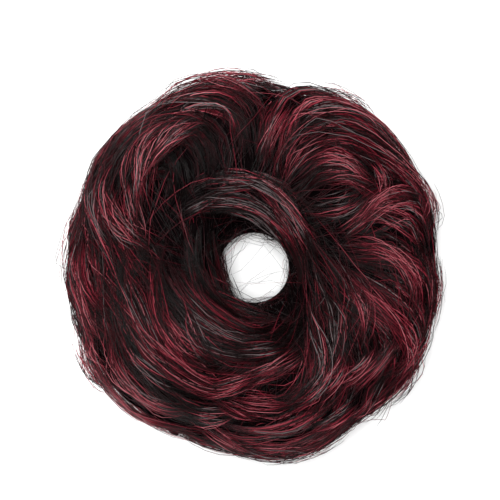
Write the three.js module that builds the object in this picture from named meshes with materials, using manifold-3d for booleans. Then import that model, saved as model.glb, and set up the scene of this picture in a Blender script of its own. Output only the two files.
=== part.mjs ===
// A top knot hairpiece: hair wound into a ring on an elastic band and dressed with curled locks.
// Millimetres, +Z up. It lies on its underside, with the table at z = 0 and the ponytail hole along Z.
import * as THREE from "three";
import { mergeVertices } from "three/addons/utils/BufferGeometryUtils.js";
import Module from "manifold-3d";

const wasm = await Module();
wasm.setup();

// Overall sizes
const hairpieceDiameter = 154; // over the locks
const hairpieceHeight = 50; // from the table to the highest lock
const ponytailHoleDiameter = 27; // the narrowest place, where the ponytail goes through

// Locks
const lockWidth = 24; // a full lock, side to side
const lockThickness = 15; // a full lock, down into the hair
const lockEndTuck = 5; // how far both ends of a lock dive into the hair
const lockEndShare = 0.42; // an end's width and thickness, as a share of the lock's middle
const ribDepth = 0.09; // grooves between the clumps of a lock, as a share of its half width
const ribTwist = 0.2; // turns that the clumps take round a lock from end to end

// Wound hair
const cleftDepth = 8; // from a lock's crest down to the wound hair beside it
const restingFlat = 0.6; // how far the underside is pressed flat by the table
const ringFullness = 2.5; // section of the ring: 2 is an ellipse, more is squarer
const woundFullness = 3; // likewise, for the wound hair inside

// Elastic band
const elasticThickness = 5;
const elasticHeight = 15; // from the table to the band's middle
const holeLining = 2.4; // wound hair between the ponytail hole and the band

// Locks under the rim
const rimLockCount = 10;
const rimLockSweep = 52; // degrees round the ring, from a rim lock's root to its tip

const pieceGap = 0.35; // left between neighbouring pieces

// Finishes
const darkHair = { color: 0x2c2224, roughness: 0.5, metalness: 0 };
const wineHair = { color: 0x4e2229, roughness: 0.45, metalness: 0 };
const blackElastic = { color: 0x141214, roughness: 0.8, metalness: 0 };

// Mesh fineness
const lockSides = 8;
const lockStep = 10; // along a lock
const ringSteps = 40;
const sectionSteps = 16;
const elasticSides = 8;
const ballSides = 12;

// Sizes that follow
const outerRadius = hairpieceDiameter / 2;
const holeRadius = ponytailHoleDiameter / 2;
const ringRadius = (outerRadius + holeRadius) / 2;
const ringReach = (outerRadius - holeRadius) / 2;
const middleHeight = hairpieceHeight / 2;
const halfLock = lockThickness / 2;
const channelHalfWidth = elasticThickness / 2 + pieceGap;
const elasticRadius = holeRadius + holeLining + channelHalfWidth;

// The surface that the locks' middle lines lie on, as reaches from the ring's middle line.
const lockCarrier = {
  outer: ringReach - halfLock,
  inner: ringReach - halfLock,
  up: middleHeight - halfLock,
  down: middleHeight - halfLock,
  fullness: ringFullness,
};

// The wound hair lies under the locks, and comes out to the hole and the table in its lower half, which
// leaves a ledge round the hole for the locks there.
const woundUpperHalf = {
  outer: ringReach - cleftDepth,
  inner: ringReach - cleftDepth,
  up: middleHeight - cleftDepth,
  fullness: woundFullness,
};
const woundLowerHalf = {
  outer: ringReach - cleftDepth,
  inner: ringReach,
  down: middleHeight + restingFlat,
  fullness: ringFullness,
};

// Each lock runs through its stations. bearing is degrees about the hole, from +X towards +Y. wrap is
// degrees about the ring: 0 is outermost, 90 on top and 180 facing the hole. lift, width and depth are
// shares of lockThickness, lockWidth and lockThickness. A lock lies over those in the rows above it.
const locks = [
  { name: "lock_right_rim", bearing: [26, 10, -8, -24, -38], wrap: [-6, -6, -4, 2, 12], lift: -0.2, width: 0.8, depth: 0.9 },
  { name: "lock_lower_left_rim", bearing: [150, 168, 186, 204, 222], wrap: [2, 2, 20, 50, 74], lift: -0.1, width: 1.1, depth: 1 },
  { name: "lock_bottom_rim", bearing: [230, 256, 282, 306, 322], wrap: [-8, -10, -10, 0, 28], lift: 0, width: 0.85, depth: 1 },
  { name: "lock_upper_left_core", bearing: [162, 145, 126, 122, 136, 156], wrap: [64, 46, 56, 86, 106, 100], lift: -0.12, width: 0.75, depth: 0.95 },
  { name: "lock_upper_left_inner", bearing: [166, 152, 130, 110, 106, 120, 150], wrap: [82, 32, 24, 56, 90, 114, 122], lift: -0.06, width: 0.8, depth: 1 },
  { name: "lock_upper_left_outer", bearing: [87, 89, 110, 138, 160, 171], wrap: [112, 52, 2, -2, 30, 92], lift: 0.02, width: 1.05, depth: 1.1 },
  { name: "lock_upper_right_inner", bearing: [54, 66, 54, 38, 20], wrap: [140, 104, 78, 58, 44], lift: -0.08, width: 0.62, depth: 0.95 },
  { name: "lock_upper_right_middle", bearing: [70, 76, 62, 45, 26], wrap: [116, 76, 42, 22, 16], lift: -0.02, width: 0.72, depth: 1 },
  { name: "lock_upper_right_outer", bearing: [62, 80, 76, 54, 30, 6], wrap: [132, 92, 36, -4, -10, -2], lift: 0, width: 0.9, depth: 1.1 },
  { name: "lock_right_upper", bearing: [6, 24, 28, 18, 0], wrap: [130, 96, 58, 22, 10], lift: -0.02, width: 0.9, depth: 1 },
  { name: "lock_lower_right_inner", bearing: [-12, -26, -42, -62], wrap: [148, 104, 72, 54], lift: -0.06, width: 1, depth: 1 },
  { name: "lock_right_middle", bearing: [20, 10, 2, -10, -28], wrap: [134, 94, 66, 34, 22], lift: -0.02, width: 0.85, depth: 1 },
  { name: "lock_bottom_outer", bearing: [240, 260, 282, 302, 318], wrap: [58, 42, 32, 40, 66], lift: -0.02, width: 1, depth: 1 },
  { name: "lock_lower_right_outer", bearing: [14, -6, -17, -28, -46, -66], wrap: [142, 100, 60, 14, -4, 8], lift: 0, width: 0.9, depth: 1.05 },
  { name: "lock_lower_left_outer", bearing: [192, 204, 220, 238, 258], wrap: [70, 38, 10, 8, 38], lift: 0, width: 1.05, depth: 1.05 },
  { name: "lock_bottom_middle", bearing: [150, 176, 204, 230, 258, 286], wrap: [94, 88, 82, 76, 76, 86], lift: 0, width: 1.3, depth: 1.05 },
  { name: "lock_lower_right_sweep", bearing: [-24, -42, -53, -73, -100], wrap: [160, 116, 86, 62, 58], lift: 0.02, width: 0.85, depth: 0.95 },
  { name: "lock_hole_bottom", bearing: [158, 190, 228, 264, 294, 322], wrap: [116, 120, 122, 120, 124, 136], lift: 0, width: 1.05, depth: 1 },
  { name: "lock_hole_left", bearing: [122, 148, 180, 214, 250, 290], wrap: [132, 148, 158, 160, 160, 162], lift: 0, width: 0.85, depth: 1 },
  { name: "lock_hole_top", bearing: [152, 126, 98, 72, 46, 18, -10, -38], wrap: [104, 110, 118, 134, 148, 154, 158, 168], lift: 0.02, width: 0.8, depth: 1 },
];

// The middles of the two large curls are hollow: a dent in the wound hair. bearing and wrap are as above,
// and size is a share of lockWidth.
const curlHollows = [
  { bearing: 136, wrap: 72, size: 0.9 },
  { bearing: 46, wrap: 100, size: 0.7 },
];

// A rim lock hangs from under the outer locks and curls in to the table.
const rimLock = { wrap: [18, -18, -46, -78], lift: 0, width: 1.15, depth: 1 };

const signedPower = (value, power) => Math.sign(value) * Math.abs(value) ** power;

// A point of the ring's section, as distance out from the hole's axis and height.
function sectionPoint(carrier, wrap, lift) {
  const angle = THREE.MathUtils.degToRad(wrap);
  const across = signedPower(Math.cos(angle), 2 / carrier.fullness);
  const upward = signedPower(Math.sin(angle), 2 / carrier.fullness);
  const reach = (across > 0 ? carrier.outer : carrier.inner) + lift;
  const rise = (upward > 0 ? carrier.up : carrier.down) + lift;
  return new THREE.Vector2(ringRadius + reach * across, middleHeight + rise * upward);
}

function ringPoint(carrier, bearing, wrap, lift) {
  const at = sectionPoint(carrier, wrap, lift);
  const turn = THREE.MathUtils.degToRad(bearing);
  return new THREE.Vector3(at.x * Math.cos(turn), at.x * Math.sin(turn), at.y);
}

// A closed solid for booleans, from any closed three.js geometry.
function solidFrom(geometry) {
  const bare = geometry.clone();
  bare.deleteAttribute("normal");
  bare.deleteAttribute("uv");
  const merged = mergeVertices(bare, 1e-4);
  return new wasm.Manifold(
    new wasm.Mesh({
      numProp: 3,
      vertProperties: merged.attributes.position.array,
      triVerts: new Uint32Array(merged.index.array),
    }),
  );
}

function geometryFrom(solid) {
  const mesh = solid.getMesh();
  const geometry = new THREE.BufferGeometry();
  geometry.setAttribute("position", new THREE.BufferAttribute(mesh.vertProperties, 3));
  geometry.setIndex(new THREE.BufferAttribute(mesh.triVerts, 1));
  geometry.computeVertexNormals();
  return geometry;
}

// Skins rings of points, all of one size, and closes both ends with a fan.
function loft(rings) {
  const size = rings[0].length;
  const positions = rings.flat().flatMap((p) => p.toArray());
  const middles = [rings[0], rings.at(-1)].map((ring) =>
    ring.reduce((sum, p) => sum.add(p), new THREE.Vector3()).divideScalar(size),
  );
  positions.push(...middles.flatMap((p) => p.toArray()));
  const [startMiddle, endMiddle] = [rings.length * size, rings.length * size + 1];
  const lastRing = (rings.length - 1) * size;
  const index = [];
  for (let k = 0; k < size; k++) {
    const next = (k + 1) % size;
    index.push(startMiddle, k, next, endMiddle, lastRing + next, lastRing + k);
    for (let i = 0; i < rings.length - 1; i++) {
      const [near, far] = [i * size, (i + 1) * size];
      index.push(near + k, far + next, near + next, near + k, far + k, far + next);
    }
  }
  const geometry = new THREE.BufferGeometry();
  geometry.setAttribute("position", new THREE.Float32BufferAttribute(positions, 3));
  geometry.setIndex(index);
  return geometry;
}

// A lock swept along its stations. grow makes it larger all round, for the room it needs.
function lockSolid(lock, grow = 0) {
  const route = new THREE.SplineCurve(
    lock.bearing.map((bearing, i) => new THREE.Vector2(bearing, lock.wrap[i])),
  );
  const stations = lock.bearing.map((bearing, i) => ringPoint(lockCarrier, bearing, lock.wrap[i], 0));
  const steps = Math.ceil(new THREE.CatmullRomCurve3(stations).getLength() / lockStep);
  const fullness = (t) => lockEndShare + (1 - lockEndShare) * Math.sqrt(Math.sin(Math.PI * t));
  const place = (t, above = 0) => {
    const at = route.getPoint(t);
    const tuck = lockEndTuck * (1 - Math.sin(Math.PI * t));
    const lift = lock.lift * lockThickness - tuck + above;
    return ringPoint(lockCarrier, at.x, at.y, lift);
  };
  const rings = [];
  for (let i = 0; i <= steps; i++) {
    const t = i / steps;
    const centre = place(t);
    const [before, after] = [place(Math.max(0, t - 0.01)), place(Math.min(1, t + 0.01))];
    const along = after.sub(before).normalize();
    const side = along.clone().cross(place(t, 1).sub(centre)).normalize();
    const out = side.clone().cross(along);
    const endGrow = i === 0 ? -grow : i === steps ? grow : 0;
    centre.addScaledVector(along, endGrow);
    const halfWidth = (lockWidth * lock.width * fullness(t)) / 2;
    const halfDepth = (lockThickness * lock.depth * fullness(t)) / 2;
    rings.push(
      Array.from({ length: lockSides }, (_, k) => {
        const angle = 2 * Math.PI * (k / lockSides + ribTwist * t);
        const rib = k % 2 ? 1 - ribDepth : 1;
        return centre
          .clone()
          .addScaledVector(side, (halfWidth * rib + grow) * Math.cos(angle))
          .addScaledVector(out, (halfDepth * rib + grow) * Math.sin(angle));
      }),
    );
  }
  return solidFrom(loft(rings));
}

// What a boolean leaves of a lock can include slivers at its edge: the lock is the largest body.
const largestBody = (solid) =>
  solid.decompose().reduce((best, body) => (body.volume() > best.volume() ? body : best));

function tableSlab() {
  const depth = hairpieceHeight;
  const slab = new THREE.BoxGeometry(2 * hairpieceDiameter, 2 * hairpieceDiameter, depth);
  slab.translate(0, 0, -depth / 2);
  return solidFrom(slab);
}

// A ball whose middle is on the wound hair's surface.
function hollowSolid(hollow) {
  const ball = new THREE.SphereGeometry((hollow.size * lockWidth) / 2, ballSides, ballSides / 2);
  const middle = ringPoint(woundUpperHalf, hollow.bearing, hollow.wrap, 0);
  ball.translate(middle.x, middle.y, middle.z);
  return solidFrom(ball);
}

// Turns a closed outline of (radius, height) points about the hole's axis.
function turned(outline) {
  const lathe = new THREE.LatheGeometry([...outline, outline[0].clone()], ringSteps);
  lathe.rotateX(Math.PI / 2);
  return solidFrom(lathe);
}

// The ring of wound hair. grow makes it larger all round, for the room it needs.
function woundHairSolid(grow = 0) {
  const halfOutline = (carrier, firstWrap) =>
    Array.from({ length: sectionSteps / 2 }, (_, i) =>
      sectionPoint(carrier, firstWrap + (360 * (i + 0.5)) / sectionSteps, grow),
    );
  return turned([...halfOutline(woundUpperHalf, 0), ...halfOutline(woundLowerHalf, 180)]);
}

// The channel that the elastic lies in: open below, with a round roof.
function elasticChannelSolid() {
  const roof = new THREE.Path();
  roof.absarc(elasticRadius, elasticHeight, channelHalfWidth, 0, Math.PI, false);
  const outline = [
    new THREE.Vector2(elasticRadius - channelHalfWidth, -lockThickness),
    new THREE.Vector2(elasticRadius + channelHalfWidth, -lockThickness),
    ...roof.getPoints(elasticSides / 2),
  ];
  return turned(outline);
}

function elasticGeometry() {
  const torus = new THREE.TorusGeometry(
    elasticRadius,
    elasticThickness / 2,
    elasticSides,
    ringSteps,
  );
  torus.translate(0, 0, elasticHeight);
  return torus;
}

function rimLocks() {
  return Array.from({ length: rimLockCount }, (_, i) => {
    const root = (360 * i) / rimLockCount;
    const stations = rimLock.wrap.length - 1;
    return {
      ...rimLock,
      name: `rim_lock_${i + 1}`,
      bearing: rimLock.wrap.map((_, k) => root + (rimLockSweep * k) / stations),
    };
  });
}

function namedMesh(name, geometry, finish) {
  const mesh = new THREE.Mesh(geometry, new THREE.MeshStandardMaterial(finish));
  mesh.name = name;
  return mesh;
}

// Builds from the top lock down, so that each piece is cut back from what lies over it.
function hairpiece() {
  const group = new THREE.Group();
  const belowTable = tableSlab();
  const layers = [...rimLocks(), ...locks].reverse();
  let taken = woundHairSolid(pieceGap);
  for (const lock of layers) {
    const free = lockSolid(lock).subtract(taken).subtract(belowTable);
    group.add(namedMesh(lock.name, geometryFrom(largestBody(free)), wineHair));
    taken = taken.add(lockSolid(lock, pieceGap));
  }
  const wound = [elasticChannelSolid(), belowTable, ...curlHollows.map(hollowSolid)].reduce(
    (hair, cut) => hair.subtract(cut),
    woundHairSolid(),
  );
  group.add(namedMesh("wound_hair", geometryFrom(wound), darkHair));
  group.add(namedMesh("elastic_band", elasticGeometry(), blackElastic));

  // The origin is the middle of the box round the piece, on the table.
  const box = new THREE.Box3().setFromObject(group);
  const middle = box.getCenter(new THREE.Vector3());
  group.position.set(-middle.x, -middle.y, -box.min.z);
  return group;
}

export default hairpiece();
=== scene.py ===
import math

import bpy
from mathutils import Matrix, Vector


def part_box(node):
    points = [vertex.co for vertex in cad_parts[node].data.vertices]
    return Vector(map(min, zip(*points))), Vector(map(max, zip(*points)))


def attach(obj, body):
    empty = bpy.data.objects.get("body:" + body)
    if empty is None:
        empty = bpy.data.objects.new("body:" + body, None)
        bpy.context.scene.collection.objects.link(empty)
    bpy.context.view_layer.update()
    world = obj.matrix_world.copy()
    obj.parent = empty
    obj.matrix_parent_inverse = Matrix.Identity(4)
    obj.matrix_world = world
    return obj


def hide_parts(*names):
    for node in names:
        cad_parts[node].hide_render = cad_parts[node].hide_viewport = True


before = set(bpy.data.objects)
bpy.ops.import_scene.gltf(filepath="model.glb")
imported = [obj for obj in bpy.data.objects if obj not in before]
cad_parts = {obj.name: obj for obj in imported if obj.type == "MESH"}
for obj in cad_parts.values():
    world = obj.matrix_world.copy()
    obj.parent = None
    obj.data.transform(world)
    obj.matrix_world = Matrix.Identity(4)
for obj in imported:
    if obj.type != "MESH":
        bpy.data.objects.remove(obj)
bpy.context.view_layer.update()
mm = 0.001


# Table, lights and camera. The hairpiece lies on a white table and is seen from straight above,
# under a soft light overhead, a weaker one from the upper left and the white walls of a studio.
def srgb(hex_code):
    """A hex colour as linear red, green, blue and alpha."""
    channels = [int(hex_code[i : i + 2], 16) / 255 for i in (1, 3, 5)]
    return [c / 12.92 if c < 0.04045 else ((c + 0.055) / 1.055) ** 2.4 for c in channels] + [1]


def add(tree, kind, feeds=(), **settings):
    """Adds a node. feeds gives its inputs, by name or place, each a value, a node or an output."""
    made = tree.nodes.new(kind)
    for name, value in settings.items():
        setattr(made, name, value)
    for place, value in dict(feeds).items():
        if isinstance(value, bpy.types.Node):
            value = next(output for output in value.outputs if output.enabled)
        if isinstance(value, bpy.types.NodeSocket):
            tree.links.new(value, made.inputs[place])
        else:
            made.inputs[place].default_value = value
    return made


def new_material(name):
    """A material with only its output node."""
    material = bpy.data.materials.new(name)
    material.use_nodes = True
    material.node_tree.nodes.clear()
    return material, material.node_tree


table_size = 4.0
white_laminate, tree = new_material("white laminate")
surface = add(
    tree,
    "ShaderNodeBsdfPrincipled",
    {"Base Color": srgb("#ffffff"), "Roughness": 0.7, "Specular IOR Level": 0.2},
)
add(tree, "ShaderNodeOutputMaterial", {"Surface": surface})
table_mesh = bpy.data.meshes.new("table")
half = table_size / 2
table_mesh.from_pydata(
    [(-half, -half, 0), (half, -half, 0), (half, half, 0), (-half, half, 0)], [], [(0, 1, 2, 3)]
)
table_mesh.materials.append(white_laminate)
table = bpy.data.objects.new("table", table_mesh)
bpy.context.collection.objects.link(table)

wall_brightness = 0.26
scene = bpy.context.scene
scene.view_settings.view_transform = "Standard"
scene.world = bpy.data.worlds.new("white studio")
scene.world.use_nodes = True
scene.world.node_tree.nodes["Background"].inputs["Color"].default_value = srgb("#ffffff")
scene.world.node_tree.nodes["Background"].inputs["Strength"].default_value = wall_brightness

for name, place, size, power in (
    ("overhead light", (-0.05, 0.05, 1.1), 0.35, 13.5),
    ("side light", (-0.7, 0.5, 0.7), 0.5, 7),
):
    lamp = bpy.data.lights.new(name, "AREA")
    lamp.size = size
    lamp.energy = power
    light = bpy.data.objects.new(name, lamp)
    light.location = place
    light.rotation_euler = (-Vector(place)).to_track_quat("-Z", "Y").to_euler()
    scene.collection.objects.link(light)

# The photo's frame: 500 pixels take in 200 mm, and the hole's middle is at pixel (254, 268).
photo_pixels = 500
view_width = 200 * mm
hole_column, hole_row = 254, 268
hole_in_view = (
    Vector((hole_column / photo_pixels - 0.5, 0.5 - hole_row / photo_pixels)) * view_width
)
elastic_low, elastic_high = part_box("elastic_band")
hole = (elastic_low + elastic_high) / 2
lens = bpy.data.cameras.new("camera")
lens.lens = 110
focus_height = 25 * mm
view_distance = view_width * lens.lens / lens.sensor_width
camera = bpy.data.objects.new("camera", lens)
camera.location = (
    hole.x - hole_in_view.x,
    hole.y - hole_in_view.y,
    focus_height + view_distance,
)
scene.collection.objects.link(camera)
scene.camera = camera


# Elastic band. A loop of round braided elastic, black polyester yarn over rubber, on which the
# hair is wound. It lies in the ring's channel and shows only from below.
elastic_radius = (elastic_high.x - elastic_low.x - (elastic_high.z - elastic_low.z)) / 2
elastic_thickness = elastic_high.z - elastic_low.z
yarn_relief = 0.18 * mm
yarns_round = 8
yarns_along = 120
points_per_yarn = 3

black_polyester, tree = new_material("black polyester braid")
surface = add(
    tree,
    "ShaderNodeBsdfPrincipled",
    {"Base Color": srgb("#151316"), "Roughness": 0.75, "Specular IOR Level": 0.4},
)
add(tree, "ShaderNodeOutputMaterial", {"Surface": surface})


def mesh_piece(name, mesh, body, slot, *nodes):
    """A finished piece that rides on a body in place of CAD nodes."""
    piece = bpy.data.objects.new(name, mesh)
    scene.collection.objects.link(piece)
    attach(piece, body)
    if nodes:
        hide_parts(*nodes)
    return piece


points, faces = [], []
around, along = yarns_round * points_per_yarn, yarns_along * points_per_yarn
for i in range(along):
    turn = 2 * math.pi * i / along
    for k in range(around):
        angle = 2 * math.pi * k / around
        lean = yarns_along * turn / 2
        weave = math.sin(yarns_round * angle + lean) * math.sin(yarns_round * angle - lean)
        radius = elastic_thickness / 2 - yarn_relief * (1 - abs(weave))
        out = elastic_radius + radius * math.cos(angle)
        up = radius * math.sin(angle)
        points.append(hole + Vector((out * math.cos(turn), out * math.sin(turn), up)))
        here, ahead = i * around, (i + 1) % along * around
        above = (k + 1) % around
        faces.append((here + k, ahead + k, ahead + above, here + above))
elastic_mesh = bpy.data.meshes.new("elastic")
elastic_mesh.from_pydata(points, [], faces)
elastic_mesh.materials.append(black_polyester)
elastic_mesh.shade_smooth()
mesh_piece("braided_elastic", elastic_mesh, "root", "elastic", "elastic_band")


# Wound hair. Wefts of fibre wound round the elastic and stitched, so that the fibres run out of
# the hole, under the ring and up to the rim. The fibre is modacrylic, extruded and crimped by
# heat: a clean round filament with a soft gloss that runs as a line across each curl. Two stocks
# are blended, a warm black and a burgundy whose brightest fibres are nearly crimson.
ring_diameter = 154 * mm
ring_height = 50 * mm
hole_diameter = 27 * mm
lock_width = 24 * mm
lock_thickness = 15 * mm
lock_end_tuck = 5 * mm
lock_end_share = 0.42
ring_fullness = 2.5
ring_radius = (ring_diameter + hole_diameter) / 4
ring_reach = (ring_diameter - hole_diameter) / 4
middle_height = ring_height / 2

# A real filament is 0.08 mm thick. It is drawn three to five times as thick, so that it shows.
fibre_width = 0.3 * mm

# A fibre doesn't stand farther than this from what carries it.
fibre_reach = 5 * mm

modacrylic, tree = new_material("modacrylic hair")
tone = add(tree, "ShaderNodeAttribute", attribute_name="tone")
colour = add(tree, "ShaderNodeValToRGB", {"Fac": tone.outputs["Fac"]})
# The lightest colours of each stock, the grey at a half and the rose at the top, are reached mostly where
# painted light lifts a fibre, and stand for a painted highlight.
stock = (
    (0.0, "#020101"),
    (0.2, "#100808"),
    (0.38, "#291d1e"),
    (0.5, "#756a6b"),
    (0.51, "#110304"),
    (0.66, "#3a0c14"),
    (0.82, "#761c2a"),
    (0.93, "#a03d4a"),
    (1.0, "#bd6a72"),
)
for place, code in stock[1:-1]:
    colour.color_ramp.elements.new(place)
for element, (place, code) in zip(colour.color_ramp.elements, stock):
    element.position = place
    element.color = srgb(code)
surface = add(
    tree,
    "ShaderNodeBsdfPrincipled",
    {"Base Color": colour, "Roughness": 0.35, "IOR": 1.5, "Specular IOR Level": 0.12},
)
add(tree, "ShaderNodeOutputMaterial", {"Surface": surface})


# Deep between the locks the same fibre is packed tight. It is given a flat near-black without
# gloss, painted shade for the dark between the locks.
shade_painted_core, tree = new_material("hair core in painted shade")
surface = add(
    tree,
    "ShaderNodeBsdfPrincipled",
    {"Base Color": srgb("#0a0607"), "Roughness": 1.0, "Specular IOR Level": 0.0},
)
add(tree, "ShaderNodeOutputMaterial", {"Surface": surface})


def ring_point(bearing, wrap, lift=0.0):
    """A point above the ring's carrier, at degrees about the hole and degrees about the ring."""
    angle, turn = math.radians(wrap), math.radians(bearing)
    power = 2 / ring_fullness
    across = math.copysign(abs(math.cos(angle)) ** power, math.cos(angle))
    upward = math.copysign(abs(math.sin(angle)) ** power, math.sin(angle))
    out = ring_radius + (ring_reach - lock_thickness / 2 + lift) * across
    up = middle_height + (middle_height - lock_thickness / 2 + lift) * upward
    return Vector((hole.x + out * math.cos(turn), hole.y + out * math.sin(turn), up))


def hair_tree():
    """Lays fibres along a guide line, gathered in clumps, and keeps them to the form of a solid."""
    tree = bpy.data.node_groups.new("hair along a guide", "GeometryNodeTree")
    for name, kind in (
        ("Guide", "NodeSocketGeometry"),
        ("Solid", "NodeSocketObject"),
        ("Fibres", "NodeSocketInt"),
        ("Clumps", "NodeSocketInt"),
        ("Width", "NodeSocketFloat"),
        ("Thickness", "NodeSocketFloat"),
        ("Twist", "NodeSocketFloat"),
        ("Fluff", "NodeSocketFloat"),
        ("Reach", "NodeSocketFloat"),
        ("Wander", "NodeSocketFloat"),
        ("Wine", "NodeSocketFloat"),
        ("Step", "NodeSocketFloat"),
        ("Fibre", "NodeSocketFloat"),
        ("Light", "NodeSocketFloat"),
        ("Seed", "NodeSocketInt"),
        ("Packed", "NodeSocketBool"),
        ("Finish", "NodeSocketMaterial"),
        ("Inside", "NodeSocketMaterial"),
    ):
        tree.interface.new_socket(name=name, in_out="INPUT", socket_type=kind)
    tree.interface.new_socket(name="Hair", in_out="OUTPUT", socket_type="NodeSocketGeometry")
    given = add(tree, "NodeGroupInput").outputs

    # One copy of the guide for each fibre.
    line = add(tree, "GeometryNodeMeshToCurve", {"Mesh": given["Guide"]})
    line = add(
        tree, "GeometryNodeResampleCurve", {"Curve": line, "Length": given["Step"]}, mode="LENGTH"
    )
    copies = add(
        tree,
        "GeometryNodeDuplicateElements",
        {"Geometry": line, "Amount": given["Fibres"]},
        domain="SPLINE",
    )
    marked = add(
        tree, "GeometryNodeCaptureAttribute", {"Geometry": copies.outputs["Geometry"]}, domain="CURVE"
    )
    marked.capture_items.new("INT", "fibre")
    tree.links.new(add(tree, "GeometryNodeInputIndex").outputs[0], marked.inputs["fibre"])
    fibre = marked.outputs["fibre"]
    clump = add(
        tree,
        "FunctionNodeRandomValue",
        {4: 1, 5: given["Clumps"], "ID": fibre, "Seed": given["Seed"]},
        data_type="INT",
    )

    # Random numbers, three in each draw: one draw for each clump and two for each fibre. One more
    # gives each clump its lean along the lock and its brightness.
    draws = []
    for drawn_for, shift in ((clump, 0), (fibre, 1000), (fibre, 2000)):
        seed = add(tree, "ShaderNodeMath", {0: given["Seed"], 1: shift}, operation="ADD")
        drawn_values = add(
            tree,
            "FunctionNodeRandomValue",
            {0: (0, 0, 0), 1: (1, 1, 1), "ID": drawn_for, "Seed": seed},
            data_type="FLOAT_VECTOR",
        )
        draws.append(drawn_values)
    clump_chance, fibre_split, second_split = (
        add(tree, "ShaderNodeSeparateXYZ", {0: draw}) for draw in draws
    )
    fibre_chance = draws[1]
    most_lean = 0.25
    seed = add(tree, "ShaderNodeMath", {0: given["Seed"], 1: 3000}, operation="ADD")
    clump_lean = add(
        tree,
        "FunctionNodeRandomValue",
        {0: (-most_lean, 0, 0), 1: (most_lean, 1, 1), "ID": clump, "Seed": seed},
        data_type="FLOAT_VECTOR",
    )
    clump_lean = add(tree, "ShaderNodeSeparateXYZ", {0: clump_lean})

    # The lock's section at each point: outward from the ring, and sideways along it.
    place = add(tree, "GeometryNodeInputPosition")
    heading = add(tree, "GeometryNodeInputTangent")
    share = add(tree, "GeometryNodeSplineParameter").outputs["Factor"]
    from_hole = add(
        tree, "ShaderNodeVectorMath", {0: place, 1: (hole.x, hole.y, 0)}, operation="SUBTRACT"
    )
    level = add(tree, "ShaderNodeVectorMath", {0: from_hole, 1: (1, 1, 0)}, operation="MULTIPLY")
    level = add(tree, "ShaderNodeVectorMath", {0: level}, operation="NORMALIZE")
    core = add(tree, "ShaderNodeVectorMath", {0: level, "Scale": ring_radius}, operation="SCALE")
    core = add(tree, "ShaderNodeVectorMath", {0: core, 1: (0, 0, middle_height)}, operation="ADD")
    outward = add(tree, "ShaderNodeVectorMath", {0: from_hole, 1: core}, operation="SUBTRACT")
    side = add(tree, "ShaderNodeVectorMath", {0: heading, 1: outward}, operation="CROSS_PRODUCT")
    side = add(tree, "ShaderNodeVectorMath", {0: side}, operation="NORMALIZE")
    upright = add(tree, "ShaderNodeVectorMath", {0: side, 1: heading}, operation="CROSS_PRODUCT")

    # A lock is full in its middle and narrows to both ends.
    arch = add(tree, "ShaderNodeMath", {0: share, 1: math.pi}, operation="MULTIPLY")
    arch = add(tree, "ShaderNodeMath", {0: arch}, operation="SINE")
    arch = add(tree, "ShaderNodeMath", {0: arch}, operation="SQRT")
    full = add(
        tree,
        "ShaderNodeMath",
        {0: arch, 1: 1 - lock_end_share, 2: lock_end_share},
        operation="MULTIPLY_ADD",
    )

    # Each clump has its place on the section's outer half, and twists round it along the lock.
    # Its fibres lie spread about that place, most of them close to it.
    first_turn, last_turn = -0.16, 0.66
    least_depth = 0.72
    clump_spread = (0.9, 0.5, 0)
    least_spread = 0.25
    gathering = 2.5
    turn = add(
        tree,
        "ShaderNodeMapRange",
        {"Value": clump_chance.outputs["X"], "To Min": first_turn, "To Max": last_turn},
    )
    twist = add(
        tree, "ShaderNodeMath", {0: clump_lean.outputs["X"], 1: given["Twist"]}, operation="ADD"
    )
    past_middle = add(tree, "ShaderNodeMath", {0: share, 1: 0.5}, operation="SUBTRACT")
    spun = add(tree, "ShaderNodeMath", {0: past_middle, 1: twist, 2: turn}, operation="MULTIPLY_ADD")
    angle = add(tree, "ShaderNodeMath", {0: spun, 1: 2 * math.pi}, operation="MULTIPLY")
    across = add(tree, "ShaderNodeMath", {0: angle}, operation="COSINE")
    upward = add(tree, "ShaderNodeMath", {0: angle}, operation="SINE")
    spot = add(tree, "ShaderNodeCombineXYZ", {0: across, 1: upward})
    depth = add(
        tree,
        "ShaderNodeMapRange",
        {"Value": clump_chance.outputs["Y"], "To Min": least_depth, "To Max": 1.0},
    )
    spot = add(tree, "ShaderNodeVectorMath", {0: spot, "Scale": depth}, operation="SCALE")
    spread = add(
        tree, "ShaderNodeVectorMath", {0: fibre_chance, 1: (0.5, 0.5, 0.5)}, operation="SUBTRACT"
    )
    spread = add(tree, "ShaderNodeVectorMath", {0: spread, 1: clump_spread}, operation="MULTIPLY")
    closeness = add(
        tree, "ShaderNodeMath", {0: fibre_split.outputs["X"], 1: gathering}, operation="POWER"
    )
    closeness = add(
        tree,
        "ShaderNodeMath",
        {0: closeness, 1: 1 - least_spread, 2: least_spread},
        operation="MULTIPLY_ADD",
    )
    spread = add(tree, "ShaderNodeVectorMath", {0: spread, "Scale": closeness}, operation="SCALE")
    spot = add(tree, "ShaderNodeVectorMath", {0: spot, 1: spread}, operation="ADD")
    size = add(tree, "ShaderNodeCombineXYZ", {0: given["Width"], 1: given["Thickness"]})
    spot = add(tree, "ShaderNodeVectorMath", {0: spot, 1: size}, operation="MULTIPLY")
    half_full = add(tree, "ShaderNodeMath", {0: full, 1: 0.5}, operation="MULTIPLY")
    spot = add(tree, "ShaderNodeVectorMath", {0: spot, "Scale": half_full}, operation="SCALE")
    spot = add(tree, "ShaderNodeSeparateXYZ", {0: spot})
    sideways = add(
        tree, "ShaderNodeVectorMath", {0: side, "Scale": spot.outputs["X"]}, operation="SCALE"
    )
    lifted = add(
        tree, "ShaderNodeVectorMath", {0: upright, "Scale": spot.outputs["Y"]}, operation="SCALE"
    )
    offset = add(tree, "ShaderNodeVectorMath", {0: sideways, 1: lifted}, operation="ADD")

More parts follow.
